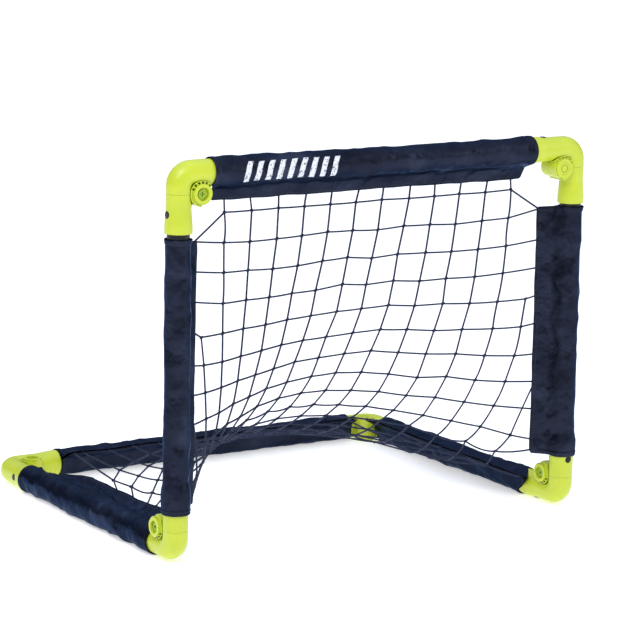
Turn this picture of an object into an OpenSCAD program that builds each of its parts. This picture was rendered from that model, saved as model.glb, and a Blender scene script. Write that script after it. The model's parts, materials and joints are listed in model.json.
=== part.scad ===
// Folding junior football goal: six sleeved tubes joined by six push-button folding corner fittings.
// The front frame (crossbar and posts) stands on the goal line; the ground frame folds up behind it.
// Axes: +X to the right seen from the pitch, +Y from the goal line to the back, +Z up.
// Origin: centre of the footprint, on the ground.

/* [Goal] */
// Width over the corner sockets
goal_w = 550; // [500:10:700]
// Height over the corner sockets
goal_h = 440; // [400:10:600]
// Depth over the corner sockets
goal_d = 440; // [400:10:600]

/* [Tubes] */
// Outside diameter of the frame tubes
tube_d = 25; // [25:0.1:25.4]
// Wall of the frame tubes
tube_wall = 1.2; // [1:0.1:1.5]

/* [Corner fittings] */
// Outside diameter of a socket arm
socket_d = 28; // [28:0.1:28.6]
// Outside diameter of the flared mouth of a socket arm
bell_d = 30.6; // [30.6:0.1:31.4]
// Length of the straight lip at a flared mouth
bell_len = 8; // [6:1:9]
// Length of the flare behind the lip
flare_len = 17; // [8:1:17]
// Distance from the corner point to a socket mouth
arm_len = 64; // [60:1:72]
// Distance from the corner point to the end of a seated tube
tube_stop = 36; // [35:0.5:38]
// Distance of the fold axis from both tube centrelines
fold_offset = 21.5; // [21:0.5:24]
// Radius of the two hinge discs
disc_r = 12; // [11.5:0.1:12.2]
// Height of the raised ring around the button and around the screw recess
ring_h = 1.5; // [1:0.1:2]

/* [Fold lock] */
// Number of teeth on the lock gear
gear_teeth = 12; // [8:1:14]
// Outside radius of the lock gear over its teeth
gear_r = 9.3; // [9:0.1:9.4]
// Travel of the lock button
lock_travel = 3.2; // [2.5:0.1:3.2]

/* [Tube catches] */
// Radius of a spring catch button
catch_r = 4; // [3:0.1:4.5]
// Distance from the corner point to a catch
catch_at = 43.5; // [42:0.5:48]
// Travel of a catch button
catch_travel = 3.6; // [3:0.1:3.8]

/* [Sleeves] */
// Outside radius of a fabric sleeve around its tube
sleeve_r = 14; // [13.6:0.1:14.2]
// Reach of the net flap from the tube centreline
flap_reach = 39; // [30:1:39]
// Angle between a flap and the plane of the frame it hangs in
flap_tilt = 28; // [24:1:30]

/* [Hidden] */
$fn = 64;
small_fn = 32;

tube_r = tube_d / 2;
socket_r = socket_d / 2;
bell_r = bell_d / 2;
tube_fit = 0.05;          // radial clearance of a tube in its socket
ground_flat = 0.3;        // depth of the flats on the lowest points of the mouths
centre_w = goal_w - socket_d;
centre_h = goal_h - socket_d;
centre_d = goal_d - socket_d;
bar_z = bell_r - ground_flat;
top_z = bar_z + centre_h;
catch_proud = 0.75;       // height of a catch above the socket wall
front_out = socket_r + ring_h;
back_out = socket_r + catch_proud;
front_y = (front_out - back_out - centre_d) / 2;
back_y = front_y + centre_d;
side_x = centre_w / 2;

seam_gap = 0.2;           // gap between the two halves of a fitting
lap_gap = 0.2;            // gap between the two hinge discs
bend_r = socket_r + 0.25; // centreline radius of the elbow bend
core_r = 8.5;             // hollow inside a fitting, behind the tube stop
core_from = 4;            // distance from the corner point to the ends of an elbow's hollows
pocket_r = disc_r + 0.4;  // clearance around the opposite hinge disc
web_r = disc_r + 2.2;     // plate that carries the index slots
web_y = socket_r - 1.2;
web_from = 35;            // angle at which the elbow plate starts
ring_r = disc_r - 1.2;
slot_r = disc_r - 1;
slot_size = 2.4;
slot_depth = 4;
slot_from = web_from + 8;
slot_pitch = 22;

cup_r = gear_r + 0.3;
cup_root_r = gear_r - 1.1;
tooth_w = 2;
spline_w = tooth_w + 0.4;
far_cup_r = gear_r + 0.5; // smooth cup, so that the corner can turn
elbow_cup_y = -9.5;
recess_y = -12;
recess_r = 7.3;
socket_cup_y = 8;
seat_y = 10;
seat_r = 7;
column_r = 3.8;
column_fit = 0.05;
column_end = recess_y + 0.1;
pilot_r = 1.3;
pilot_end = 6;
leg_r = 1.2;
leg_fit = 0.2;
leg_at = 5.4;
leg_count = 3;
gear_low = -6.2;
gear_high = 2.9;
gear_bore_r = column_r + 0.4;
spring_well_y = -1;
spring_well_r = 6.8;
spring_r = 5.6;
spring_wire = 0.8;
spring_turns = 3.5;
spring_steps = 12;
button_r = seat_r - 0.2;
button_low = seat_y + lock_travel + 0.1;
button_high = socket_r + ring_h - 0.25;
button_groove_r = 4.6;
button_groove_w = 0.7;
button_groove_h = 0.6;
screw_r = 1.25;
screw_head_r = 4.8;
screw_head_h = 1.2;
screw_end = 4;
driver_w = 1.2;
driver_l = 5;

catch_low = 9.4;          // underside of the catch's leaf spring
leaf_h = 0.8;
leaf_w = 7;
leaf_back = 5;            // leaf length towards the tube's end
leaf_front = 24;          // leaf length towards the tube's middle
dome_h = 0.7;

sleeve_in = tube_r + 0.2;
sleeve_gap = 1.5;         // distance from a sleeve's end to the socket mouth
flap_skin = 0.8;
tape_t = 1.6;
tape_fit = 0.1;
flap_t = tape_t + 2 * tape_fit + 2 * flap_skin;
tape_edge = 2.5;
net_t = 1.2;
net_edge = 5;             // distance from the net panels to the flaps
over = 30;                // cutting tools reach past the part by this much
eps = 0.01;

// ---- Placement -------------------------------------------------------------
// A fitting is drawn with its corner point at the origin, its elbow arm along +X,
// its socket arm along -Z and its button on the +Y side.

module at_top_left() translate([-side_x, front_y, top_z]) children();
module at_top_right() translate([side_x, front_y, top_z]) rotate([0, 0, 180]) children();
module at_front_left() translate([-side_x, front_y, bar_z]) rotate(180, [1, 1, 0]) children();
module at_front_right() translate([side_x, front_y, bar_z]) rotate(180, [1, 1, 0]) children();
module at_back_left() translate([-side_x, back_y, bar_z]) rotate([-90, 0, 0]) children();
module at_back_right() translate([side_x, back_y, bar_z]) rotate(180, [0, 1, 1]) children();

// Lays a shape that is drawn on the elbow arm on the socket arm.
module on_socket_arm() rotate(180, [1, 0, -1]) children();

// Bars are drawn along +X, centred, with their flap on the +Z side.
module on_crossbar() translate([0, front_y, top_z]) rotate([180 + flap_tilt, 0, 0]) children();
module on_back_bar() translate([0, back_y, bar_z]) rotate([90 - flap_tilt, 0, 0]) children();
module on_left_post() translate([-side_x, front_y, (bar_z + top_z) / 2])
    rotate([0, 0, flap_tilt]) rotate([0, 90, 0]) children();
module on_right_post() mirror([1, 0, 0]) on_left_post() children();
module on_left_ground() translate([-side_x, (front_y + back_y) / 2, bar_z])
    rotate([0, 90 - flap_tilt, 0]) rotate([0, 0, 90]) children();
module on_right_ground() mirror([1, 0, 0]) on_left_ground() children();

module on_fold_axis() translate([fold_offset, 0, -fold_offset]) rotate([-90, 0, 0]) children();

// Cylinder about the fold axis between two heights of the fitting's Y
module fold_cyl(r, y0, y1) on_fold_axis() translate([0, 0, y0]) cylinder(r = r, h = y1 - y0);

module ground_cut() {
    difference() {
        children();
        translate([-goal_w, -goal_d, -over]) cube([2 * goal_w, 2 * goal_d, over]);
    }
}

// ---- Tubes -----------------------------------------------------------------

// Tube between two corner points, with a catch hole on its outer side near each end
module tube(centre_len) {
    length = centre_len - 2 * tube_stop;
    color("#15171f") difference() {
        rotate([0, 90, 0]) cylinder(r = tube_r, h = length, center = true);
        rotate([0, 90, 0]) cylinder(r = tube_r - tube_wall, h = length + 2, center = true);
        for (side = [-1, 1])
            translate([side * (centre_len / 2 - catch_at), 0, 0])
                cylinder(r = catch_r + 0.2, h = over, $fn = small_fn);
    }
}

module crossbar_tube() translate([0, front_y, top_z]) tube(centre_w);
module back_tube() translate([0, back_y, bar_z]) rotate([-90, 0, 0]) tube(centre_w);
module left_post_tube() translate([-side_x, front_y, (bar_z + top_z) / 2]) post_tube();
module right_post_tube() translate([side_x, front_y, (bar_z + top_z) / 2]) mirror([1, 0, 0]) post_tube();
module left_ground_tube() translate([-side_x, (front_y + back_y) / 2, bar_z]) ground_tube();
module right_ground_tube() translate([side_x, (front_y + back_y) / 2, bar_z]) mirror([1, 0, 0]) ground_tube();

// A post's top catch faces sideways and its bottom catch faces the pitch.
module post_tube() {
    length = centre_h - 2 * tube_stop;
    color("#15171f") difference() {
        cylinder(r = tube_r, h = length, center = true);
        cylinder(r = tube_r - tube_wall, h = length + 2, center = true);
        translate([0, 0, centre_h / 2 - catch_at]) rotate([0, -90, 0])
            cylinder(r = catch_r + 0.2, h = over, $fn = small_fn);
        translate([0, 0, catch_at - centre_h / 2]) rotate([90, 0, 0])
            cylinder(r = catch_r + 0.2, h = over, $fn = small_fn);
    }
}

// A ground tube's front catch faces the ground and its back catch faces sideways.
module ground_tube() {
    length = centre_d - 2 * tube_stop;
    color("#15171f") rotate([-90, 0, 0]) difference() {
        cylinder(r = tube_r, h = length, center = true);
        cylinder(r = tube_r - tube_wall, h = length + 2, center = true);
        translate([0, 0, centre_d / 2 - catch_at]) rotate([0, -90, 0])
            cylinder(r = catch_r + 0.2, h = over, $fn = small_fn);
        translate([0, 0, catch_at - centre_d / 2]) rotate([-90, 0, 0])
            cylinder(r = catch_r + 0.2, h = over, $fn = small_fn);
    }
}

// ---- Corner fittings -------------------------------------------------------

// One arm of a fitting along +X: a tube socket that flares at its mouth
module arm_outside(from) {
    translate([from, 0, 0]) rotate([0, 90, 0]) cylinder(r = socket_r, h = arm_len - from);
    translate([arm_len - bell_len, 0, 0]) rotate([0, 90, 0]) cylinder(r = bell_r, h = bell_len);
    translate([arm_len - bell_len - flare_len, 0, 0]) rotate([0, 90, 0])
        cylinder(r1 = socket_r, r2 = bell_r, h = flare_len);
}

module arm_inside(from) {
    translate([tube_stop, 0, 0]) rotate([0, 90, 0]) cylinder(r = tube_r + tube_fit, h = arm_len);
    translate([from, 0, 0]) rotate([0, 90, 0]) cylinder(r = core_r, h = tube_stop - from + eps);
    translate([catch_at, 0, 0]) cylinder(r = catch_r + 0.2, h = over, $fn = small_fn);
}

// Sector of a disc about the fold axis, between two angles measured from +X towards +Z
module fold_sector(r, from, to, half) {
    mid = (from + to) / 2;
    far = 2 * r;
    translate([fold_offset, half, -fold_offset]) rotate([90, 0, 0]) intersection() {
        cylinder(r = r, h = 2 * half);
        linear_extrude(2 * half) polygon([
            [0, 0],
            far * [cos(from), sin(from)],
            far * [cos(mid), sin(mid)],
            far * [cos(to), sin(to)]
        ]);
    }
}

module bend() {
    translate([bend_r, 0, -bend_r]) rotate([90, 0, 0])
        rotate([0, 0, 90]) rotate_extrude(angle = 90) translate([bend_r, 0]) circle(r = socket_r);
}

// Raised ring around the button or the screw recess
module ring(side) {
    fold_cyl(ring_r, min(side * socket_r, side * front_out), max(side * socket_r, side * front_out));
}

// Fitting half that carries the bend; its hinge disc has the screw recess and the lock gear's cup
module elbow_half() {
    stub = fold_offset - seam_gap / 2;
    color("#d6f03a") difference() {
        union() {
            bend();
            arm_outside(bend_r);
            translate([0, 0, -stub]) cylinder(r = socket_r, h = stub - bend_r + eps);
            fold_sector(web_r, web_from, 180, web_y);
            fold_cyl(disc_r, -socket_r, -lap_gap / 2);
            ring(-1);
        }
        arm_inside(core_from);
        translate([0, 0, -stub - 1]) cylinder(r = core_r, h = stub + 1 - core_from);
        fold_cyl(pocket_r, -lap_gap / 2, over);
        fold_cyl(cup_root_r, elbow_cup_y, 0);
        splines();
        fold_cyl(column_r + column_fit, recess_y - 1, elbow_cup_y + eps);
        fold_cyl(recess_r, -over, recess_y);
        for (angle = [slot_from : slot_pitch : 170], side = [-1, 1])
            on_fold_axis() rotate([0, 0, -angle])
                translate([slot_r, -slot_size / 2, side * web_y - slot_depth])
                    cube([slot_size, slot_size, 2 * slot_depth]);
    }
}

// Grooves of the elbow's cup that hold the lock gear's teeth
module splines() {
    on_fold_axis() for (i = [0 : gear_teeth - 1])
        rotate([0, 0, i * 360 / gear_teeth]) translate([0, -spline_w / 2, elbow_cup_y])
            cube([cup_r, spline_w, -elbow_cup_y]);
}

// Straight fitting half; its hinge disc has the button seat and the pivot column
module socket_half() {
    color("#d6f03a") difference() {
        union() {
            difference() {
                union() {
                    on_socket_arm() arm_outside(fold_offset + seam_gap / 2);
                    fold_sector(web_r, 180, 270, web_y);
                    fold_cyl(disc_r, lap_gap / 2, socket_r);
                    ring(1);
                }
                on_socket_arm() arm_inside(fold_offset - 1);
                fold_cyl(pocket_r, -over, lap_gap / 2);
                fold_cyl(far_cup_r, 0, socket_cup_y);
                fold_cyl(seat_r, seat_y, over);
                leg_ring() cylinder(r = leg_r + leg_fit, h = over, center = true, $fn = small_fn);
            }
            fold_cyl(column_r, column_end, socket_cup_y + eps);
        }
        fold_cyl(pilot_r, -over, pilot_end);
    }
}

// Places the button's legs, halfway along the fitting's Y
module leg_ring() {
    on_fold_axis() for (i = [0 : leg_count - 1])
        rotate([0, 0, i * 360 / leg_count]) translate([leg_at, 0, socket_cup_y + 1]) children();
}

module lock_gear() {
    color("#2a2c31") difference() {
        union() {
            fold_cyl(cup_root_r - 0.25, gear_low, gear_high);
            on_fold_axis() for (i = [0 : gear_teeth - 1])
                rotate([0, 0, i * 360 / gear_teeth]) translate([column_r + 1, -tooth_w / 2, gear_low])
                    cube([gear_r - column_r - 1, tooth_w, gear_high - gear_low]);
        }
        fold_cyl(gear_bore_r, -over, over);
        fold_cyl(spring_well_r, -over, spring_well_y);
    }
}

module lock_button() {
    color("#d6f03a") difference() {
        union() {
            fold_cyl(button_r, button_low, button_high);
            leg_ring() translate([0, 0, gear_high + 0.1 - socket_cup_y - 1])
                cylinder(r = leg_r, h = button_low - gear_high, $fn = small_fn);
        }
        difference() {
            fold_cyl(button_groove_r, button_high - button_groove_h, over);
            fold_cyl(button_groove_r - button_groove_w, -over, over + 1);
        }
    }
}

// Coil between the floor of the elbow's cup and the gear's spring well
module lock_spring() {
    sides = 6;
    wire = spring_wire / 2;
    low = elbow_cup_y + wire + tube_fit;
    rise = spring_well_y - wire - tube_fit - low;
    rings = ceil(spring_turns * spring_steps);
    points = [for (i = [0 : rings], j = [0 : sides - 1])
        let (turn = i * 360 * spring_turns / rings, around = j * 360 / sides,
             r = spring_r + wire * cos(around))
        [r * cos(turn), r * sin(turn), low + rise * i / rings + wire * sin(around)]];
    skin = [for (i = [0 : rings - 1], j = [0 : sides - 1])
        let (k = (j + 1) % sides)
        [i * sides + j, (i + 1) * sides + j, (i + 1) * sides + k, i * sides + k]];
    start = [for (j = [0 : sides - 1]) j];
    end = [for (j = [0 : sides - 1]) rings * sides + sides - 1 - j];
    color("silver") on_fold_axis() polyhedron(points, concat(skin, [start, end]));
}

module pivot_screw() {
    color("silver") difference() {
        union() {
            fold_cyl(screw_head_r, recess_y - tube_fit - screw_head_h, recess_y - tube_fit);
            fold_cyl(screw_r, recess_y - tube_fit - eps, screw_end);
        }
        for (turn = [0, 90])
            on_fold_axis() rotate([0, 0, turn])
                translate([-driver_l / 2, -driver_w / 2, recess_y - tube_fit - screw_head_h - 1])
                    cube([driver_l, driver_w, 2]);
    }
}

// Sprung button that holds a tube in its socket, with its leaf spring inside the tube
module catch() {
    top = socket_r + catch_proud;
    color("#1b1c20") translate([catch_at, 0, 0]) {
        translate([0, 0, catch_low]) cylinder(r = catch_r, h = top - dome_h - catch_low, $fn = small_fn);
        translate([0, 0, top - dome_h]) cylinder(r1 = catch_r, r2 = catch_r - dome_h, h = dome_h, $fn = small_fn);
        translate([-leaf_back, -leaf_w / 2, catch_low]) cube([leaf_back + leaf_front, leaf_w, leaf_h]);
    }
}

// ---- Soft parts ------------------------------------------------------------

// Fabric sleeve: a ring around the tube and a two-layer flap that the net hangs from
module sleeve(centre_len) {
    length = centre_len - 2 * (arm_len + sleeve_gap);
    slot_w = tape_t + 2 * tape_fit;
    color("#171b2b") difference() {
        union() {
            rotate([0, 90, 0]) cylinder(r = sleeve_r, h = length, center = true);
            translate([-length / 2, -flap_t / 2, 0]) cube([length, flap_t, flap_reach]);
        }
        rotate([0, 90, 0]) cylinder(r = sleeve_in, h = length + 2, center = true);
        translate([-length, -slot_w / 2, sleeve_r]) cube([2 * length, slot_w, flap_reach - sleeve_r - flap_skin]);
    }
}

// Hook-and-loop tape that closes a flap
module grip_tape(centre_len) {
    length = centre_len - 2 * (arm_len + sleeve_gap + tape_edge);
    color("#0c0d12") translate([-length / 2, -tape_t / 2, sleeve_r + tape_edge])
        cube([length, tape_t, flap_reach - sleeve_r - flap_skin - 2 * tape_edge]);
}

// Collapsible net as three flat panels: back panel and two side panels
module net() {
    inset = flap_reach * sin(flap_tilt) + net_edge;
    drop = flap_reach * cos(flap_tilt) + net_edge;
    half_w = side_x - drop;
    head = [front_y + inset, top_z - drop];
    foot = [back_y - drop, bar_z + inset];
    run = norm(foot - head);
    slope = atan2(foot[1] - head[1], foot[0] - head[0]);
    back_off = 2 * net_t;
    color("#22283c") {
        translate([-half_w + back_off, head[0], head[1]]) rotate([slope, 0, 0])
            cube([2 * (half_w - back_off), run, net_t]);
        for (side = [-1, 1])
            translate([side * half_w - (side > 0 ? net_t : 0), 0, 0]) rotate([90, 0, 90])
                linear_extrude(net_t) polygon([
                    [head[0], foot[1]],
                    [foot[0] - back_off * 2, foot[1]],
                    [head[0], head[1] - back_off * 2]
                ]);
    }
}

// ---- Nodes -----------------------------------------------------------------

module elbow_top_left() at_top_left() elbow_half();
module elbow_top_right() at_top_right() elbow_half();
module elbow_front_left() ground_cut() at_front_left() elbow_half();
module elbow_front_right() ground_cut() at_front_right() elbow_half();
module elbow_back_left() ground_cut() at_back_left() elbow_half();
module elbow_back_right() ground_cut() at_back_right() elbow_half();
module socket_top_left() at_top_left() socket_half();
module socket_top_right() at_top_right() socket_half();
module socket_front_left() at_front_left() socket_half();
module socket_front_right() at_front_right() socket_half();
module socket_back_left() ground_cut() at_back_left() socket_half();
module socket_back_right() ground_cut() at_back_right() socket_half();
module lock_gear_top_left() at_top_left() lock_gear();
module lock_gear_top_right() at_top_right() lock_gear();
module lock_gear_front_left() at_front_left() lock_gear();
module lock_gear_front_right() at_front_right() lock_gear();
module lock_gear_back_left() at_back_left() lock_gear();
module lock_gear_back_right() at_back_right() lock_gear();
module lock_button_top_left() at_top_left() lock_button();
module lock_button_top_right() at_top_right() lock_button();
module lock_button_front_left() at_front_left() lock_button();
module lock_button_front_right() at_front_right() lock_button();
module lock_button_back_left() at_back_left() lock_button();
module lock_button_back_right() at_back_right() lock_button();

module lock_springs_front() {
    at_top_left() lock_spring();
    at_top_right() lock_spring();
}

module lock_springs_ground() {
    at_front_left() lock_spring();
    at_front_right() lock_spring();
    at_back_left() lock_spring();
    at_back_right() lock_spring();
}

module pivot_screws_front() {
    at_top_left() pivot_screw();
    at_top_right() pivot_screw();
    at_front_left() pivot_screw();
    at_front_right() pivot_screw();
}

module pivot_screws_ground() {
    at_back_left() pivot_screw();
    at_back_right() pivot_screw();
}

module catch_crossbar_left() at_top_left() catch();
module catch_crossbar_right() at_top_right() catch();
module catch_left_post_top() at_top_left() on_socket_arm() catch();
module catch_left_post_bottom() at_front_left() on_socket_arm() catch();
module catch_right_post_top() at_top_right() on_socket_arm() catch();
module catch_right_post_bottom() at_front_right() on_socket_arm() catch();
module catch_left_ground_front() at_front_left() catch();
module catch_left_ground_back() at_back_left() on_socket_arm() catch();
module catch_right_ground_front() at_front_right() catch();
module catch_right_ground_back() at_back_right() on_socket_arm() catch();
module catch_back_bar_left() at_back_left() catch();
module catch_back_bar_right() at_back_right() catch();

module sleeve_crossbar() on_crossbar() sleeve(centre_w);
module sleeve_left_post() on_left_post() sleeve(centre_h);
module sleeve_right_post() on_right_post() sleeve(centre_h);
module sleeve_left_ground() on_left_ground() sleeve(centre_d);
module sleeve_right_ground() on_right_ground() sleeve(centre_d);
module sleeve_back_bar() on_back_bar() sleeve(centre_w);

module grip_tapes_front() {
    on_crossbar() grip_tape(centre_w);
    on_left_post() grip_tape(centre_h);
    on_right_post() grip_tape(centre_h);
}

module grip_tapes_ground() {
    on_left_ground() grip_tape(centre_d);
    on_right_ground() grip_tape(centre_d);
    on_back_bar() grip_tape(centre_w);
}

crossbar_tube();
left_post_tube();
right_post_tube();
left_ground_tube();
right_ground_tube();
back_tube();
elbow_top_left();
elbow_top_right();
elbow_front_left();
elbow_front_right();
elbow_back_left();
elbow_back_right();
socket_top_left();
socket_top_right();
socket_front_left();
socket_front_right();
socket_back_left();
socket_back_right();
lock_gear_top_left();
lock_gear_top_right();
lock_gear_front_left();
lock_gear_front_right();
lock_gear_back_left();
lock_gear_back_right();
lock_button_top_left();
lock_button_top_right();
lock_button_front_left();
lock_button_front_right();
lock_button_back_left();
lock_button_back_right();
lock_springs_front();
lock_springs_ground();
pivot_screws_front();
pivot_screws_ground();
catch_crossbar_left();
catch_crossbar_right();
catch_left_post_top();
catch_left_post_bottom();
catch_right_post_top();
catch_right_post_bottom();
catch_left_ground_front();
catch_left_ground_back();
catch_right_ground_front();
catch_right_ground_back();
catch_back_bar_left();
catch_back_bar_right();
sleeve_crossbar();
sleeve_left_post();
sleeve_right_post();
sleeve_left_ground();
sleeve_right_ground();
sleeve_back_bar();
grip_tapes_front();
grip_tapes_ground();
net();
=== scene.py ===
"""Looks of the folding junior football goal: sleeves, knotted net, finishes, floor, light and camera."""
import json
import math

import bmesh
import bpy
import numpy as np
from mathutils import Matrix, Vector, noise

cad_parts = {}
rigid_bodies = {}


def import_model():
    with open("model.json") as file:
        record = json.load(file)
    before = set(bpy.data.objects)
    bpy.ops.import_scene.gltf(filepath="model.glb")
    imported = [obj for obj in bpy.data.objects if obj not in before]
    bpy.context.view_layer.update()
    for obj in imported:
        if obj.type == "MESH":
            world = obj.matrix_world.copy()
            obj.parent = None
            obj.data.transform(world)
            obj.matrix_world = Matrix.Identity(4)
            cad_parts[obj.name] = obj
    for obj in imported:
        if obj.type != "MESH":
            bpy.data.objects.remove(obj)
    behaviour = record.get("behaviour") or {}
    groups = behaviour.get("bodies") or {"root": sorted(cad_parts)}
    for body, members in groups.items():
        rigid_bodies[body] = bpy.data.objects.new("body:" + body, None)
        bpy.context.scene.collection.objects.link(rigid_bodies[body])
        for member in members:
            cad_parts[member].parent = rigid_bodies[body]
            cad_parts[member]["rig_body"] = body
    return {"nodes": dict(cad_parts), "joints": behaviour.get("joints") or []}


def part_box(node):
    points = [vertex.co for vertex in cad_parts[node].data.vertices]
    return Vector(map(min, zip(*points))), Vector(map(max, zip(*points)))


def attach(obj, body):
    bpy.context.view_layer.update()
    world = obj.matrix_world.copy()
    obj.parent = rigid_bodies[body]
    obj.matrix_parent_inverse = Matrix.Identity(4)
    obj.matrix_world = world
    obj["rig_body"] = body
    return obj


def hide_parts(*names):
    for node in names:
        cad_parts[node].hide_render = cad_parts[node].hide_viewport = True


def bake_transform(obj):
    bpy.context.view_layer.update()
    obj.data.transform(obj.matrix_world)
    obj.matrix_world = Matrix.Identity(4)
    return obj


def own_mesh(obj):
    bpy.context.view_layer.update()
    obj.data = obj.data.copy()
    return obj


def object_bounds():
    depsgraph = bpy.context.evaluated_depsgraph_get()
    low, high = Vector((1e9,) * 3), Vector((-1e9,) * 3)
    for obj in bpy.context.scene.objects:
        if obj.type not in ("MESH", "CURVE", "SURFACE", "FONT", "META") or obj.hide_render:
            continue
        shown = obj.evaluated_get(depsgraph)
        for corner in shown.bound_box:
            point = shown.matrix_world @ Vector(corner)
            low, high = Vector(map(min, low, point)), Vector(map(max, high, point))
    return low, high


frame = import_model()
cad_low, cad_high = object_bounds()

MM = 0.001
rng = np.random.default_rng(7)
# the camera's angles, its distance from what it aims at and its lens in mm
AZIMUTH, ELEVATION, ROLL = math.radians(-32.4), math.radians(10.9), math.radians(1.1)
DISTANCE, LENS = 3.339, 158.7


# ---- Frame lines, from the CAD boxes ----------------------------------------

def middle(node):
    low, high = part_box(node)
    return (low + high) / 2


side_x = abs(middle("left_post_tube").x)
front_y, top_z = middle("crossbar_tube").y, middle("crossbar_tube").z
back_y, bar_z = middle("back_tube").y, middle("back_tube").z

TOP_LEFT, TOP_RIGHT = Vector((-side_x, front_y, top_z)), Vector((side_x, front_y, top_z))
FRONT_LEFT, FRONT_RIGHT = Vector((-side_x, front_y, bar_z)), Vector((side_x, front_y, bar_z))
BACK_LEFT, BACK_RIGHT = Vector((-side_x, back_y, bar_z)), Vector((side_x, back_y, bar_z))


def flap_line(node, start, end):
    """Unit direction from a bar's centreline to the tip of its sleeve's flap, and the flap's reach."""
    along = (end - start).normalized()
    points = np.array([v.co for v in frame["nodes"][node].data.vertices]) - np.array(start)
    points -= np.outer(points @ np.array(along), np.array(along))
    far = np.linalg.norm(points, axis=1)
    tip = points[far > far.max() - 0.02 * MM].mean(0)    # the farthest edge, within rounding
    reach = np.linalg.norm(tip)
    return Vector(tip / reach), reach


# ---- Materials ---------------------------------------------------------------

def new_material(name, color, rough, metallic=0.0):
    mat = bpy.data.materials.new(name)
    mat.use_nodes = True
    mat.diffuse_color = (*color, 1)
    bsdf = mat.node_tree.nodes["Principled BSDF"]
    bsdf.inputs["Base Color"].default_value = (*color, 1)
    bsdf.inputs["Roughness"].default_value = rough
    bsdf.inputs["Metallic"].default_value = metallic
    return mat, mat.node_tree, bsdf


def add(tree, kind, **values):
    """Adds a node. Values with a name of an input set that input, other values set the node's own setting."""
    node = tree.nodes.new(kind)
    for key, value in values.items():
        label = key.replace("_", " ").title()
        if label in node.inputs:
            node.inputs[label].default_value = value
        else:
            setattr(node, key, value)
    return node


def noise_tex(tree, scale, detail=4.0, rough=0.55):
    coords = add(tree, "ShaderNodeTexCoord")
    tex = add(tree, "ShaderNodeTexNoise", scale=scale, detail=detail, roughness=rough)
    tree.links.new(coords.outputs["Object"], tex.inputs["Vector"])
    return tex.outputs["Fac"]


def ramp(tree, source, stops):
    """Colour that follows a value through (place, colour) stops."""
    node = add(tree, "ShaderNodeValToRGB")
    tree.links.new(source, node.inputs["Fac"])
    while len(node.color_ramp.elements) < len(stops):
        node.color_ramp.elements.new(0.5)
    for element, (place, color) in zip(node.color_ramp.elements, stops):
        element.position = place
        element.color = (*color, 1)
    return node.outputs["Color"]


def grey(value):
    return (value, value, value)


def add_bump(tree, bsdf, heights):
    """Chains bump nodes: each entry is (height output, strength, distance)."""
    normal = None
    for height, strength, distance in heights:
        bump = add(tree, "ShaderNodeBump", strength=strength, distance=distance)
        tree.links.new(height, bump.inputs["Height"])
        if normal is not None:
            tree.links.new(normal, bump.inputs["Normal"])
        normal = bump.outputs["Normal"]
    tree.links.new(normal, bsdf.inputs["Normal"])


def waves(tree, scale, axis):
    """Smooth parallel bands, such as threads."""
    coords = add(tree, "ShaderNodeTexCoord")
    tex = add(tree, "ShaderNodeTexWave", wave_type="BANDS", bands_direction=axis, scale=scale)
    tree.links.new(coords.outputs["Object"], tex.inputs["Vector"])
    return tex.outputs["Fac"]


def math_node(tree, operation, a, b):
    node = add(tree, "ShaderNodeMath", operation=operation)
    for socket, value in zip(node.inputs, (a, b)):
        if isinstance(value, (int, float)):
            socket.default_value = value
        else:
            tree.links.new(value, socket)
    return node.outputs[0]


def lime_plastic(name="lime_plastic", color=(0.56, 0.64, 0.03)):
    """Glossy lime plastic, with painted shade: an occlusion mask darkens its slots and recesses to dark
    green.
    """
    mat, tree, bsdf = new_material(name, color, 0.36)
    tint = ramp(tree, noise_tex(tree, 22, 5),
                [(0.3, [0.96 * c for c in color]), (0.7, [1.06 * c for c in color])])
    # painted shade: slots and recesses go dark green in the base colour, where shade falls
    recess_occlusion = add(tree, "ShaderNodeAmbientOcclusion", samples=8, only_local=True, distance=3.5 * MM)
    painted_recess_shade = ramp(tree, recess_occlusion.outputs["AO"],
                 [(0.10, (0.03, 0.06, 0.001)), (0.40, (0.42, 0.60, 0.05)), (0.66, (1, 1, 1))])
    dark = add(tree, "ShaderNodeMix", data_type="RGBA", blend_type="MULTIPLY")
    dark.inputs[0].default_value = 1.0
    tree.links.new(tint, dark.inputs[6])
    tree.links.new(painted_recess_shade, dark.inputs[7])
    tree.links.new(dark.outputs[2], bsdf.inputs["Base Color"])
    tree.links.new(ramp(tree, noise_tex(tree, 160, 5), [(0.3, grey(0.30)), (0.7, grey(0.44))]),
                   bsdf.inputs["Roughness"])
    add_bump(tree, bsdf, [(noise_tex(tree, 2600, 2), 0.10, 0.0002), (noise_tex(tree, 55, 2), 0.10, 0.0008)])
    bsdf.inputs["Subsurface Weight"].default_value = 0.12
    bsdf.inputs["Subsurface Radius"].default_value = (0.004, 0.004, 0.0015)
    bsdf.inputs["Subsurface Scale"].default_value = 1.0
    bsdf.inputs["Coat Weight"].default_value = 0.12
    bsdf.inputs["Coat Roughness"].default_value = 0.25
    return mat


def black_plastic():
    mat, tree, bsdf = new_material("black_plastic", (0.006, 0.0065, 0.008), 0.42)
    tree.links.new(ramp(tree, noise_tex(tree, 300, 4), [(0.3, grey(0.34)), (0.7, grey(0.52))]),
                   bsdf.inputs["Roughness"])
    add_bump(tree, bsdf, [(noise_tex(tree, 3000, 2), 0.15, 0.0002)])
    bsdf.inputs["Specular IOR Level"].default_value = 0.3
    return mat


def zinc_steel():
    mat, tree, bsdf = new_material("zinc_steel", (0.62, 0.63, 0.64), 0.32, 1.0)
    tint = ramp(tree, noise_tex(tree, 420, 3), [(0.3, (0.55, 0.57, 0.60)), (0.7, (0.70, 0.70, 0.68))])
    tree.links.new(tint, bsdf.inputs["Base Color"])
    tree.links.new(ramp(tree, noise_tex(tree, 900, 3), [(0.3, grey(0.22)), (0.7, grey(0.42))]),
                   bsdf.inputs["Roughness"])
    return mat


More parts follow.
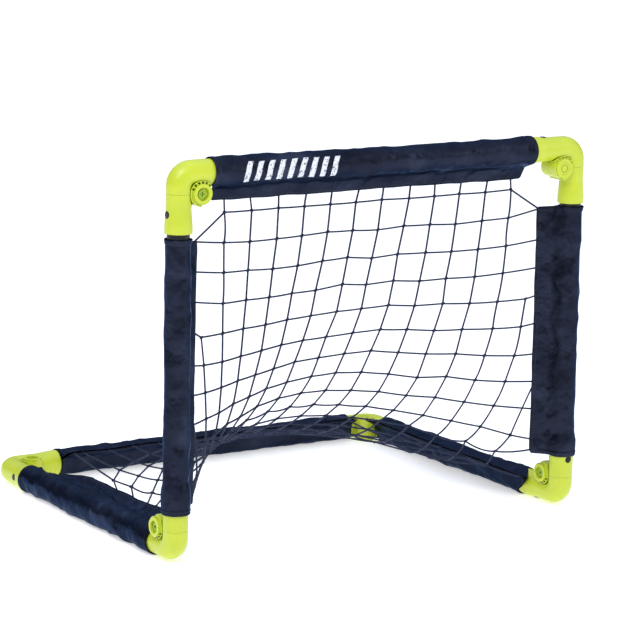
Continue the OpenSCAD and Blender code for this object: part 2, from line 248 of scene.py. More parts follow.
def black_tube():
    mat, tree, bsdf = new_material("black_tube", (0.005, 0.0055, 0.008), 0.34)
    tree.links.new(ramp(tree, noise_tex(tree, 90, 5), [(0.35, grey(0.26)), (0.7, grey(0.42))]),
                   bsdf.inputs["Roughness"])
    add_bump(tree, bsdf, [(noise_tex(tree, 1400, 3), 0.12, 0.0002)])
    bsdf.inputs["Specular IOR Level"].default_value = 0.3
    return mat


def grip_tape():
    mat, tree, bsdf = new_material("grip_tape", (0.008, 0.008, 0.011), 0.9)
    loops = math_node(tree, "MULTIPLY", waves(tree, 420, "Y"), waves(tree, 420, "Z"))
    add_bump(tree, bsdf, [(noise_tex(tree, 1500, 3), 0.8, 0.0006), (loops, 0.5, 0.0004)])
    bsdf.inputs["Sheen Weight"].default_value = 0.4
    return mat


def navy_fabric():
    """Coated satin: dark navy with blue highlights, a fine weave and small creases."""
    mat, tree, bsdf = new_material("navy_fabric", (0.018, 0.022, 0.038), 0.40, 1.0)
    crease = noise_tex(tree, 26, 3, 0.5)
    tint = ramp(tree, noise_tex(tree, 17, 5),
                [(0.25, (0.012, 0.014, 0.024)), (0.55, (0.021, 0.025, 0.043)), (0.8, (0.042, 0.051, 0.088))])
    tree.links.new(tint, bsdf.inputs["Base Color"])
    tree.links.new(ramp(tree, crease, [(0.3, grey(0.26)), (0.7, grey(0.44))]), bsdf.inputs["Roughness"])
    weave = math_node(tree, "ADD", math_node(tree, "MULTIPLY", waves(tree, 620, "X"), waves(tree, 620, "Y")),
                      waves(tree, 620, "Z"))
    add_bump(tree, bsdf,
             [(crease, 1.0, 0.0070), (noise_tex(tree, 90, 3), 0.30, 0.0012), (weave, 0.12, 0.0002)])
    bsdf.inputs["Specular Tint"].default_value = (0.50, 0.57, 0.74, 1)    # keeps grazing reflections dark
    return mat


def dark_thread():
    mat, tree, bsdf = new_material("dark_thread", (0.010, 0.012, 0.024), 0.7)
    add_bump(tree, bsdf, [(noise_tex(tree, 2500, 2), 0.5, 0.0002)])
    return mat


def net_cord():
    mat, tree, bsdf = new_material("net_cord", (0.012, 0.016, 0.040), 0.62)
    tint = ramp(tree, noise_tex(tree, 130, 4), [(0.3, (0.012, 0.017, 0.042)), (0.7, (0.026, 0.036, 0.085))])
    tree.links.new(tint, bsdf.inputs["Base Color"])
    strands = math_node(tree, "ADD", waves(tree, 330, "DIAGONAL"), noise_tex(tree, 1900, 2))
    add_bump(tree, bsdf, [(strands, 0.7, 0.0004)])
    bsdf.inputs["Specular IOR Level"].default_value = 0.25
    return mat


def white_print():
    """Worn screen print, broken by fine cracks."""
    mat, tree, bsdf = new_material("white_print", (0.80, 0.82, 0.86), 0.55)
    worn = ramp(tree, noise_tex(tree, 380, 5), [(0.36, (0.10, 0.11, 0.16)), (0.46, (0.78, 0.80, 0.84))])
    tree.links.new(worn, bsdf.inputs["Base Color"])
    add_bump(tree, bsdf, [(noise_tex(tree, 900, 3), 0.3, 0.0003)])
    return mat


def floor_white():
    mat, tree, bsdf = new_material("floor_white", (0.93, 0.93, 0.93), 0.6)
    bsdf.inputs["Emission Color"].default_value = (1, 1, 1, 1)
    bsdf.inputs["Emission Strength"].default_value = 0.48
    bsdf.inputs["Specular IOR Level"].default_value = 0.1
    tint = ramp(tree, noise_tex(tree, 3, 4), [(0.3, grey(0.925)), (0.7, grey(0.94))])
    tree.links.new(tint, bsdf.inputs["Base Color"])
    return mat


LIME, BLACK, ZINC, TUBE = lime_plastic(), black_plastic(), zinc_steel(), black_tube()
# pivot screws: a darker copy of the lime, painted shade of the recess they sit in
SHADED_SCREW_LIME = lime_plastic("lime_with_painted_shade", (0.30, 0.46, 0.006))
TAPE, FABRIC, THREAD = grip_tape(), navy_fabric(), dark_thread()
CORD, PRINT, FLOOR = net_cord(), white_print(), floor_white()

FINISHES = [  # first match wins
    ("lock_springs", ZINC), ("pivot_screws", SHADED_SCREW_LIME), ("lock_gear", BLACK), ("lock_button", LIME),
    ("elbow", LIME), ("socket", LIME), ("catch", BLACK), ("tube", TUBE), ("grip_tapes", TAPE),
    ("sleeve", FABRIC), ("net", CORD),
]
for name, obj in frame["nodes"].items():
    material = next(m for part, m in FINISHES if part in name)
    obj.data.materials.clear()
    obj.data.materials.append(material)


# ---- Mesh helpers ------------------------------------------------------------

def make_object(name, points, faces, materials, face_material=None, smooth=True):
    """Links a new mesh object. face_material is each face's index in materials."""
    mesh = bpy.data.meshes.new(name)
    mesh.from_pydata([tuple(p) for p in np.asarray(points)], [], [tuple(int(i) for i in f) for f in faces])
    for m in materials:
        mesh.materials.append(m)
    if face_material is not None:
        mesh.polygons.foreach_set("material_index", np.asarray(face_material, np.int32))
    mesh.polygons.foreach_set("use_smooth", [smooth] * len(mesh.polygons))
    mesh.validate()
    mesh.update()
    obj = bpy.data.objects.new(name, mesh)
    bpy.context.scene.collection.objects.link(obj)
    return obj


def smooth_step(x):
    """From 0 to 1 as x goes from 0 to 1, level at both ends."""
    x = np.clip(x, 0, 1)
    return x * x * (3 - 2 * x)


def perlin(x, y, z):
    """Smooth noise at the points of two arrays. z picks the pattern."""
    return np.array([noise.noise((a, b, z)) for a, b in zip(np.ravel(x), np.ravel(y))]).reshape(np.shape(x))


# ---- Lock springs: one piece per corner ----

CORNER_REACH = 40 * MM     # a coil this close to a button's middle belongs to it


def lock_springs(node, body):
    """Splits a CAD node of coils into one piece per corner."""
    mesh = frame["nodes"][node].data
    points = np.array([v.co for v in mesh.vertices])
    for joint in frame["joints"]:
        if not joint["name"].startswith("press_"):
            continue
        corner, axis = np.array(middle("lock_" + joint["child"])), Vector(joint["axis"])
        mine = np.linalg.norm(points - corner, axis=1) < CORNER_REACH
        if not mine.any():
            continue
        number = np.cumsum(mine) - 1
        faces = [[number[v] for v in f.vertices] for f in mesh.polygons if all(mine[v] for v in f.vertices)]
        spring = make_object(joint["name"].replace("press", "lock_spring"), points[mine], faces, [ZINC])
        along = points[mine] @ np.array(axis)
        floor = Vector(points[mine][along.argmax()])
        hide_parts(node)
        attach(spring, body)
        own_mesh(spring)


lock_springs("lock_springs_front", "front_frame")
lock_springs("lock_springs_ground", "ground_frame")


# ---- Sleeves -----------------------------------------------------------------

SKIN = 0.7 * MM            # fabric thickness
ROUND_R = 15.3 * MM        # sleeve around a tube
LOOSE_R = 15.7 * MM        # sleeve over the plain part of a socket arm and over its catch
POST_R = 14.0 * MM         # sleeve around a post
LIP_R = 16.4 * MM          # sleeve over the flared lip of a socket arm
FLARE, LIP, MOUTH = 44 * MM, 56 * MM, 65 * MM    # distances from a corner point: flare, lip, open end
SETTLE = 10 * MM           # length in which a sleeve narrows from a socket to its tube
TURN = math.radians(52)    # angle where the fabric leaves the tube towards the flap
JOIN = 8.5 * MM            # from the tube's fabric to where the flap's two layers meet
FLAP_HALF = 1.65 * MM      # half thickness of a closed flap
SEAM = 2.2 * MM            # how far the fabric stands off where there is no flap
CORNER = 4.5 * MM          # rounding of a flap's corners
HEM = 6 * MM
TURNED_HEM = 0.45 * MM     # how far a hem stands proud
STEP = 3.6 * MM            # between rings of points
HEM_RINGS, FLAP_RINGS = (0.5, 1.6, 5.6, 6.2), (-0.6, 0.6, 1.5, 3.0)    # more rings, in mm from an edge
SLIVER = 0.35 * MM         # rings closer than this are merged
GROUND, GROUND_INSIDE = -0.4 * MM, -0.27 * MM    # lowest heights of the fabric's outside and inside
PITCH, DASH, DASH_WIDTH, PROUD, SUNK = 3.4 * MM, 2.5 * MM, 0.5 * MM, 0.16 * MM, 0.3 * MM    # stitches
SEWN_COLUMN = 2.2          # outline index of a sewn line, counted from the flap's tip
# faces of a block whose points are four low and then four high corners
BLOCK_FACES = [(0, 1, 2, 3), (7, 6, 5, 4), (0, 4, 5, 1), (1, 5, 6, 2), (2, 6, 7, 3), (3, 7, 4, 0)]


class Sleeve:
    """Fabric that wraps a bar, with a two-layer flap. Lengths are along the bar, from its first corner."""

    def __init__(self, name, node, start, end, first, last, flap_first, flap_last,
                 crumple=1.0, seed=0.0, taper=(), pull=0.0, round_r=ROUND_R):
        """first and last are the open ends' distances in mm from the two corners, and so for the flap.

        taper is (length in mm, share of the reach) pairs. pull is how far the flap's side of the first
        end is pulled towards its corner, in mm.
        """
        self.name, self.node, self.start = name, node, start
        self.along = (end - start).normalized()
        self.out, self.reach = flap_line(node, start, end)
        self.side = self.along.cross(self.out)
        self.length = (end - start).length
        self.first, self.last = first * MM, self.length - last * MM
        self.flap_first, self.flap_last = flap_first * MM, self.length - flap_last * MM
        self.crumple, self.seed, self.taper, self.pull = crumple, seed, taper, pull * MM
        self.round_r = round_r
        self.s = self.stations()
        self.build()

    def place(self, s, u, v):
        """Row-frame point at length s, u towards the flap and v across it."""
        return self.start + self.along * s + self.out * u + self.side * v

    def stations(self):
        """Lengths of the rings of points."""
        count = int((self.last - self.first) / STEP)
        found = set(np.linspace(self.first, self.last, count))
        for edge, way, gaps in ((self.flap_first, 1, FLAP_RINGS), (self.flap_last, -1, FLAP_RINGS),
                                (self.first, 1, HEM_RINGS), (self.last, -1, HEM_RINGS)):
            found |= {edge + way * gap * MM for gap in gaps}
        s = np.array(sorted(x for x in found if self.first <= x <= self.last))
        return s[np.concatenate([[True], np.diff(s) > SLIVER])]

    def radii(self, near, fade):
        """Radius of the fabric around the bar. Where it is pulled, it clears all that it passes over."""
        places = [near - share * self.pull * fade for share in (0, 0.5, 1)]
        return np.interp(places, [FLARE, LIP, MOUTH, MOUTH + SETTLE],
                         [LOOSE_R, LIP_R, LIP_R, self.round_r]).max(0)

    def reaches(self, s, radius, on_flap):
        """Distance from the bar's centreline to the flap's tip, with a wavy edge and rounded corners."""
        reach = np.full_like(s, self.reach)
        if self.taper:
            places, factors = zip(*[(p * MM, f) for p, f in self.taper])
            reach = reach * np.interp(s, places, factors)
        edge_wave = 1.1 * MM * self.crumple * perlin(s / (26 * MM), s * 0, self.seed + 3)
        from_corner = np.clip(np.minimum(s - self.flap_first, self.flap_last - s) / CORNER, 0, 1)
        rounding = CORNER * (1 - np.sqrt(1 - (1 - from_corner) ** 2))
        reach = reach + edge_wave - 0.6 * MM * self.crumple - rounding
        return (radius + SEAM) + (reach - radius - SEAM) * on_flap

    def half_outline(self, radius, reach):
        """Outline of the fabric from the flap's tip to the far side of the tube, as (u, v)."""
        leave = np.array([radius * math.cos(TURN), radius * math.sin(TURN)])
        heading = np.array([math.sin(TURN), -math.cos(TURN)])
        meet = min(radius + JOIN, reach - 0.5 * MM)
        tip = np.linspace(reach, meet, 10)[:-1]
        flap = np.stack([tip, np.full_like(tip, FLAP_HALF)], 1)
        t = np.linspace(0, 1, 9)[:, None]
        p0, p1 = np.array([meet, FLAP_HALF]), np.array([meet - 4 * MM, FLAP_HALF])
        p2, p3 = leave + heading * 5 * MM, leave
        curve = ((1 - t) ** 3 * p0 + 3 * (1 - t) ** 2 * t * p1 + 3 * (1 - t) * t ** 2 * p2 + t ** 3 * p3)[:-1]
        turn = np.linspace(TURN, math.pi, 17)
        arc = np.stack([radius * np.cos(turn), radius * np.sin(turn)], 1)
        return np.concatenate([flap, curve, arc])

    def outlines(self, radius, reach):
        """Whole outline at each station and its outward normals."""
        half = np.stack([self.half_outline(r, f) for r, f in zip(radius, reach)])
        mirrored = half[:, ::-1][:, 1:] * np.array([1, -1])
        outline = np.concatenate([half, mirrored], 1)
        normal = np.gradient(outline, axis=1)
        normal = np.stack([normal[..., 1], -normal[..., 0]], -1)
        normal /= np.linalg.norm(normal, axis=-1, keepdims=True)
        on_tube = half.shape[1] // 2 + 12
        if np.sum(normal[:, on_tube] * outline[:, on_tube]) < 0:
            normal = -normal
        return outline, normal

    def creases(self, S, A, loose, tip, free, to_end):
        """How far the fabric puffs out at lengths S and distances A around it."""
        broad = perlin(S / (52 * MM), A / (30 * MM), self.seed)
        slant = perlin((S + 0.9 * A) / (48 * MM), (A - 0.35 * S) / (66 * MM), self.seed + 11)
        ridge = np.maximum(0, 1 - 2.6 * np.abs(slant)) ** 1.6
        slant_2 = perlin((S - 1.1 * A) / (32 * MM), (A + 0.4 * S) / (50 * MM), self.seed + 23)
        ridge_2 = np.maximum(0, 1 - 3.2 * np.abs(slant_2)) ** 1.8
        small = perlin(S / (9 * MM), A / (8 * MM), self.seed + 31)
        puff = (2.2 * broad + 2.4 * ridge + 1.7 * ridge_2 - 1.0 + 0.30 * small) * self.crumple * MM
        puff = puff * (0.55 + 0.45 * loose) * (1 - 0.85 * tip)
        # never into the tube, nearly never into a socket
        lowest = np.where(free > 0.5, -1.4 * MM, -0.15 * MM) * (1 - loose) - 0.9 * MM * loose
        puff = np.maximum(puff, lowest) * (0.35 + 0.65 * free)
        puff *= smooth_step(to_end / (9 * MM))[:, None] * 0.85 + 0.15
        return puff

    def build(self):
        s = self.s
        near = np.minimum(s, self.length - s)
        to_end = np.minimum(s - self.first, self.last - s)
        free = (1 - smooth_step((MOUTH + SETTLE - near) / SETTLE))[:, None]    # 0 over a socket
        fade = smooth_step((self.first + 2.2 * self.pull + MM - s) / (2.2 * self.pull + MM))
        on_flap = smooth_step((s - self.flap_first + 0.6 * MM) / (1.2 * MM)) * smooth_step(
            (self.flap_last + 0.6 * MM - s) / (1.2 * MM))
        radius = self.radii(near, fade)
        outline, normal = self.outlines(radius, self.reaches(s, radius, on_flap))

        girth = np.linalg.norm(np.diff(outline[len(s) // 2], axis=0), axis=1)
        S, A = np.meshgrid(s, np.concatenate([[0], np.cumsum(girth)]), indexing="ij")
        far = outline[..., 0]
        loose = smooth_step((far - radius[:, None] * 0.2) / (radius[:, None] * 0.8))     # 1 off the tube
        tip = smooth_step((far - radius[:, None]) / (self.reach - radius[:, None]))      # 1 at the flap's tip
        hem = TURNED_HEM * (smooth_step((HEM - to_end) / (0.5 * MM))
                            - smooth_step((0.6 * MM - to_end) / (0.6 * MM)))
        offset = self.creases(S, A, loose, tip, free, to_end) + hem[:, None] * (1 - 0.6 * tip)
        drift = perlin(S / (38 * MM), far / (60 * MM), self.seed + 41)
        sway = 1.15 * MM * min(self.crumple, 1.1) * drift * 1.5
        sway = np.clip(sway, -1.2 * MM, 1.2 * MM) * tip * on_flap[:, None]    # of the flap, to its sides
        outer = outline + normal * offset[..., None]
        outer[..., 1] += sway
        shifted = S - self.pull * fade[:, None] * smooth_step((far - 0.3 * radius[:, None]) / (16 * MM))
        self.outer, self.normal, self.shifted = outer, normal, shifted
        self.make_mesh(outer - normal * SKIN)

    def make_mesh(self, inner):
        """Closed shell between the outer and the inner layer, with its stitches."""
        rings, count = self.outer.shape[:2]
        grid = np.concatenate([self.outer, inner[:, ::-1]], 1)
        lengths = np.concatenate([self.shifted, self.shifted[:, ::-1]], 1)
        size = 2 * count
        points = np.array([self.place(s, u, v) for row_s, row in zip(lengths, grid)
                           for s, (u, v) in zip(row_s, row)])
        # flat where it lies on the ground, with the inner layer just above the outer one
        lowest_z = np.where(np.arange(len(points)) % size < count, GROUND, GROUND_INSIDE)
        points[:, 2] = np.maximum(points[:, 2], lowest_z)
        faces = []
        for i in range(rings - 1):
            for j in range(size):
                k = (j + 1) % size
                faces.append((i * size + j, (i + 1) * size + j, (i + 1) * size + k, i * size + k))
        base = (rings - 1) * size
        for j in range(count - 1):    # the rims at both ends
            a, b, c, d = j, j + 1, size - 2 - j, size - 1 - j
            faces.append((a, b, c, d))
            faces.append((base + a, base + d, base + c, base + b))
        slots = [0] * len(faces)
        points = self.stitches(points, faces, slots)
        sleeve = make_object(self.name, points, faces, [FABRIC, THREAD], slots)
        recalc_normals(sleeve)
        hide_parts(self.node)
        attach(sleeve, frame["nodes"][self.node]["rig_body"])

    def surface(self, s, index, lift=0.0):
        """Point on the outside at length s and outline index, both of any fraction, lifted off the fabric."""
        i = np.clip(np.interp(s, self.s, np.arange(len(self.s))), 0, len(self.s) - 1.001)
        j = np.clip(index, 0, self.outer.shape[1] - 1.001)
        i0, j0 = int(i), int(j)
        fi, fj = i - i0, j - j0

        def mix(grid):
            return ((1 - fi) * (1 - fj) * grid[i0, j0] + fi * (1 - fj) * grid[i0 + 1, j0]
                    + (1 - fi) * fj * grid[i0, j0 + 1] + fi * fj * grid[i0 + 1, j0 + 1])

        point = mix(self.outer) + mix(self.normal) * lift
        return self.place(mix(self.shifted), point[0], point[1])

    def stitches(self, points, faces, slots):
        """Adds two sewn lines along the flap and a ring of stitches at each end. Returns all points."""
        tip_2 = self.outer.shape[1] - 1    # the flap's tip again, at the outline's other end
        half_index = DASH_WIDTH / (2 * MM)
        dashes = []
        for line in (SEWN_COLUMN, tip_2 - SEWN_COLUMN):
            for s in np.arange(self.flap_first + 4 * MM, self.flap_last - 5 * MM, PITCH):
                dashes.append([(s, line - half_index), (s + DASH, line - half_index),
                               (s + DASH, line + half_index), (s, line + half_index)])
        for edge, way in ((self.first, 1), (self.last, -1)):
            s = edge + way * (HEM - 1.4 * MM)
            low, high = s - DASH_WIDTH / 2, s + DASH_WIDTH / 2
            for j in np.arange(12, tip_2 - 12, 1.6):
                dashes.append([(low, j), (high, j), (high, j + 1.1), (low, j + 1.1)])
        extra = []
        for corners in dashes:
            block = [self.surface(s, j, lift) for lift in (-SUNK, PROUD) for s, j in corners]
            if min(p.z for p in block) < 0.2 * MM:    # no thread on the ground
                continue
            base = len(points) + len(extra)
            extra.extend(block)
            faces.extend(tuple(base + i for i in f) for f in BLOCK_FACES)
            slots.extend([1] * len(BLOCK_FACES))
        return np.concatenate([points, np.array(extra)])


def recalc_normals(obj):
    bm = bmesh.new()
    bm.from_mesh(obj.data)
    bmesh.ops.recalc_face_normals(bm, faces=bm.faces)
    bm.to_mesh(obj.data)
    bm.free()


crossbar = Sleeve("crossbar_sleeve", "sleeve_crossbar", TOP_LEFT, TOP_RIGHT,
                  37, 60, 48, 61, 0.85, 1.3)
left_post = Sleeve("left_post_sleeve", "sleeve_left_post", FRONT_LEFT, TOP_LEFT,
                   40, 70, 44, 76, 0.6, 5.1, taper=((0, 0.84), (200, 0.85), (320, 0.90)), round_r=POST_R)
right_post = Sleeve("right_post_sleeve", "sleeve_right_post", FRONT_RIGHT, TOP_RIGHT,
                    47, 68, 48, 69, 0.7, 9.7, round_r=POST_R)
left_ground = Sleeve("left_ground_sleeve", "sleeve_left_ground", FRONT_LEFT, BACK_LEFT,
                     38, 59, 39, 98, 1.25, 14.9, taper=((0, 1), (255, 1), (314, 0.66)))
right_ground = Sleeve("right_ground_sleeve", "sleeve_right_ground", FRONT_RIGHT, BACK_RIGHT,
                      66, 39, 67, 40, 0.9, 20.3, taper=((66, 0.60), (92, 0.98), (120, 1)), pull=24)
back_bar = Sleeve("back_bar_sleeve", "sleeve_back_bar", BACK_LEFT, BACK_RIGHT,
                  64.6, 38, 66, 40, 1.1, 27.7)


# ---- Tapes that close the flaps ----------------------------------------------

TAPE_COLUMNS = np.arange(2, 9)    # outline indices that a tape covers, counted from the flap's tip


def closing_tapes(name, node, body, sleeves):
    """Hook-and-loop strips between the layers of the flaps. They follow each flap's waves."""
    points, faces = [], []
    columns = TAPE_COLUMNS
    for sleeve in sleeves:
        inside = (sleeve.s > sleeve.flap_first + 5 * MM) & (sleeve.s < sleeve.flap_last - 5 * MM)
        rows = np.nonzero(inside)[0]
        base, size = len(points), 2 * len(columns)
        for i in rows:
            upper, lower = sleeve.outer[i, columns], sleeve.outer[i, -1 - columns]
            across = (upper - lower) / 2
            width = np.linalg.norm(across, axis=1, keepdims=True)
            half = np.clip(width - SKIN - 0.08 * MM, 0.2 * MM, 0.8 * MM) * across / width
            middle_line = (upper + lower) / 2
            ring = np.concatenate([middle_line + half, (middle_line - half)[::-1]])
            lengths = sleeve.shifted[i, np.concatenate([columns, columns[::-1]])]
            points += [sleeve.place(s, u, v) for s, (u, v) in zip(lengths, ring)]
        for i in range(len(rows) - 1):
            a, b = base + i * size, base + (i + 1) * size
            faces += [(a + j, b + j, b + (j + 1) % size, a + (j + 1) % size) for j in range(size)]
        for start in (base, base + (len(rows) - 1) * size):
            faces += [(start + j, start + j + 1, start + size - 2 - j, start + size - 1 - j)
                      for j in range(len(columns) - 1)]
    tapes = make_object(name, points, faces, [TAPE], smooth=False)
    recalc_normals(tapes)
    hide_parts(node)
    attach(tapes, body)


closing_tapes("closing_tapes_front", "grip_tapes_front", "front_frame",
              (crossbar, left_post, right_post))
closing_tapes("closing_tapes_ground", "grip_tapes_ground", "ground_frame",
              (left_ground, right_ground, back_bar))


# ---- Print on the crossbar: plain slanted bars --------------------------------

BARS, BAR_PITCH, BAR_WIDTH, BAR_LEAN = 9, 13.8 * MM, 6.8 * MM, 6.5 * MM
BAR_LOW, BAR_HIGH = -11.5 * MM, 9.5 * MM    # from the crossbar's centreline
BAR_ROWS, BAR_COLUMNS = 13, 4               # points in each bar
BARS_FROM = 33 * MM                         # from the sleeve's end
FILM, FILM_LIFT = 0.1 * MM, 0.12 * MM       # thickness of the print, and its height over the fabric


def print_bars():
    """White bars on the front face. They lean to the right and look straight from the camera."""
    station = len(crossbar.s) // 4
    around = [crossbar.place(0, *crossbar.outer[station, j]) for j in range(crossbar.outer.shape[1])]
    face = sorted((p.z - top_z, j) for j, p in enumerate(around) if p.y < front_y - 1 * MM)
    heights, indices = zip(*face)
    depths = [around[j].y for j in indices]
    points, faces = [], []
    for n in range(BARS):
        base = len(points)
        for i in range(BAR_ROWS):
            part = i / (BAR_ROWS - 1)
            height = BAR_LOW + (BAR_HIGH - BAR_LOW) * part
            index = np.interp(height, heights, indices)
            straight = math.tan(-AZIMUTH) * (np.interp(height, heights, depths) - min(depths))
            for j in range(BAR_COLUMNS):
                s = (crossbar.first + BARS_FROM + n * BAR_PITCH + BAR_WIDTH * j / (BAR_COLUMNS - 1)
                     + BAR_LEAN * part + straight)
                points.append(crossbar.surface(s, index, FILM_LIFT))
        for i in range(BAR_ROWS - 1):
            for j in range(BAR_COLUMNS - 1):
                a = base + i * BAR_COLUMNS + j
                faces.append((a, a + 1, a + BAR_COLUMNS + 1, a + BAR_COLUMNS))
    bars = make_object("print_bars", points, faces, [PRINT])
    film = bars.modifiers.new("film", "SOLIDIFY")
    film.thickness, film.offset = FILM, 0
    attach(bars, "front_frame")


print_bars()


# ---- Net ---------------------------------------------------------------------

CORD_R, CORD_SIDES = 1.1 * MM, 6
ACROSS, DOWN = 34.8 * MM, 34.0 * MM    # mesh size of the net
TIGHTNESS = 0.965          # natural length of a cord over its length on the sheet
FIRST_ROW = 17 * MM        # length of the cords that tie the net to the crossbar
SHORTEST = 11 * MM         # a knot this close to a flap is left out
PIN_DEPTH = 2.0 * MM       # how far inside a flap's edge the net is held
SHEET, SHEET_PASSES = 48, 3000    # cells along each side of the sheet, and passes that smooth it
HANG_STEPS, PULL, KEPT_SPEED = 1500, 0.20, 0.9
WEIGHT = 0.012 * MM        # drop of a free knot in one step
KNOT = (2.3, 1.8, 1.6)     # half sizes of a knot in mm
KNOT_RINGS, KNOT_SIDES = 5, 8


def unit(v):
    return v / np.linalg.norm(v)


def on_flap(sleeve, s):
    """Point of the net held inside a flap, just below the flap's edge."""
    i = np.argmin(np.abs(sleeve.s - s))
    edge = (sleeve.outer[i, 0] + sleeve.outer[i, -1]) / 2
    return np.array(sleeve.place(sleeve.shifted[i, 0], edge[0] - PIN_DEPTH, edge[1]))


class Edge:
    """One side of the net: a line along flaps that hold it, with open stretches between them."""

    def __init__(self, stretches, corners=()):
        """Stretches are (sleeve, first, last) in mm along the bar. Corners are the side's end points."""
        self.stretches, self.closed = stretches, len(corners) > 0
        stops = [on_flap(sleeve, s * MM) for sleeve, first, last in stretches for s in (first, last)]
        self.stops = np.array([corners[0], *stops, corners[1]] if self.closed else stops)
        steps = np.linalg.norm(np.diff(self.stops, axis=0), axis=1)
        self.marks = np.concatenate([[0], np.cumsum(steps)])
        self.length = self.marks[-1]

    def point(self, t):
        return np.array([np.interp(t, self.marks, self.stops[:, axis]) for axis in range(3)])

    def stretch_at(self, t):
        """Which stretch length t is in, and how far along it."""
        i = min(int(np.searchsorted(self.marks, t, side="right")) - 1, len(self.stops) - 2)
        return i, (t - self.marks[i]) / max(self.marks[i + 1] - self.marks[i], 1e-9)

    def is_open(self, t):
        return self.closed and self.stretch_at(t)[0] % 2 == 0

    def pin(self, t):
        """The held point at length t, or the nearest one when t is on an open stretch."""
        i, share = self.stretch_at(t)
        if self.is_open(t):
            return self.stops[i + (i == 0 or share > 0.5)]    # the crossbar's own corner isn't used
        sleeve, first, last = self.stretches[i // 2]
        return on_flap(sleeve, (first + (last - first) * share) * MM)


def smooth_sheet(top, bottom, left, right):
    """Sheet stretched evenly between four edges."""
    share = np.linspace(0, 1, SHEET + 1)
    sheet = np.zeros((SHEET + 1, SHEET + 1, 3))
    for edge, line in ((top, sheet[0]), (bottom, sheet[-1]), (left, sheet[:, 0]), (right, sheet[:, -1])):
        line[:] = [edge.point(t * edge.length) for t in share]
    inner = share[1:-1, None, None]
    sheet[1:-1, 1:-1] = (1 - inner) * sheet[:1, 1:-1] + inner * sheet[-1:, 1:-1]
    for _ in range(SHEET_PASSES):
        sheet[1:-1, 1:-1] = (sheet[:-2, 1:-1] + sheet[2:, 1:-1] + sheet[1:-1, :-2] + sheet[1:-1, 2:]) / 4
    return sheet


def distances(sheet):
    """Distances along the sheet: across from its middle column and down from its top row."""
    steps = np.linalg.norm(np.diff(sheet, axis=1), axis=2)
    across = np.concatenate([np.zeros((SHEET + 1, 1)), np.cumsum(steps, 1)], 1)
    across -= across[:, SHEET // 2:SHEET // 2 + 1]
    steps = np.linalg.norm(np.diff(sheet, axis=0), axis=2)
    down = np.concatenate([np.zeros((1, SHEET + 1)), np.cumsum(steps, 0)], 0)
    return across, down


def end_length(bar, gap):
    """Length in mm along a bar that leaves a gap in mm to its last corner."""
    return bar.length / MM - gap


class NetPlan:
    """Knots and cords of a square mesh laid on the sheet. Cords that leave it end at the flaps."""

    def __init__(self):
        self.top = Edge([(crossbar, 55, end_length(crossbar, 63))])
        self.bottom = Edge([(back_bar, 72, end_length(back_bar, 46))])
        left = Edge([(left_post, end_length(left_post, 78), 50),
                     (left_ground, 46, end_length(left_ground, 102))],
                    (self.top.stops[0], self.bottom.stops[0]))
        right = Edge([(right_post, end_length(right_post, 72), 52),
                      (right_ground, 68, end_length(right_ground, 48))],
                     (self.top.stops[-1], self.bottom.stops[-1]))
        self.sides = ((left, 0), (right, SHEET))    # with their columns of the sheet
        self.sheet = smooth_sheet(self.top, self.bottom, left, right)
        self.across, self.down = distances(self.sheet)
        self.levels = np.arange(SHEET + 1)
        self.points, self.held, self.cords = [], [], []
        self.knots = {}    # by row and column, each with its level on the sheet
        self.rows = 0
        while FIRST_ROW + self.rows * DOWN < self.down[-1, SHEET // 2] - SHORTEST:
            self.lay_row(self.rows)
            self.rows += 1
        for k in sorted({k for _, k in self.knots}):
            self.lay_column(k)

    def add_point(self, place, fixed):
        self.points.append(np.array(place))
        self.held.append(fixed)
        return len(self.points) - 1

    def lay_row(self, row):
        """A row's knots and the cords between them, from one side to the other."""
        q, levels = FIRST_ROW + row * DOWN, self.levels
        columns = range(SHEET + 1)
        level = np.array([np.interp(q, self.down[:, j], levels) for j in columns])
        line = np.array([[np.interp(level[j], levels, self.sheet[:, j, axis]) for axis in range(3)]
                         for j in columns])
        p = np.array([np.interp(level[j], levels, self.across[:, j]) for j in columns])
        ends = [self.add_point(side.pin(level[j] / SHEET * side.length), True) for side, j in self.sides]
        last = ends[0]
        for k in np.arange(-SHEET + 0.5, SHEET):    # half a mesh off the middle, as in the photo
            if not p[0] + SHORTEST < k * ACROSS < p[-1] - SHORTEST:
                continue
            place = [np.interp(k * ACROSS, p, line[:, axis]) for axis in range(3)]
            knot = self.add_point(place, False)
            self.knots[row, k] = knot, np.interp(k * ACROSS, p, level)
            self.cords.append((last, knot))
            last = knot
        self.cords.append((last, ends[1]))

    def lay_column(self, k):
        """A column's cords between its knots, and those that tie its two ends."""
        rows = [r for r, column in self.knots if column == k]
        for r in range(min(rows), max(rows)):
            self.cords.append((self.knots[r, k][0], self.knots[r + 1, k][0]))
        for r, way in ((min(rows), -1), (max(rows), 1)):
            knot, level = self.knots[r, k]
            pin = self.column_pin(k, r, way, level)
            if pin is not None:
                self.cords.append((knot, self.add_point(pin, True)))

    def column_pin(self, k, row, way, level):
        """Where a column is tied above (way -1) or below (way 1) its last knot, if it is."""
        edge, ends = (self.top, self.across[0]) if way < 0 else (self.bottom, self.across[-1])
        if ends[0] < k * ACROSS < ends[-1] and row in (0, self.rows - 1):
            return edge.pin(np.interp(k * ACROSS, ends, self.levels) / SHEET * edge.length)
        side, j = self.sides[0] if k < 0 else self.sides[1]
        narrower = np.abs(self.across[:, j]) < abs(k) * ACROSS
        beyond = np.nonzero(narrower & ((self.levels - level) * way > 0))[0]
        meet = beyond[np.argmin(np.abs(beyond - level))] if len(beyond) else level
        if way < 0 and side.is_open(meet / SHEET * side.length):
            return None    # the top corners of the net hang free
        return side.pin(meet / SHEET * side.length)


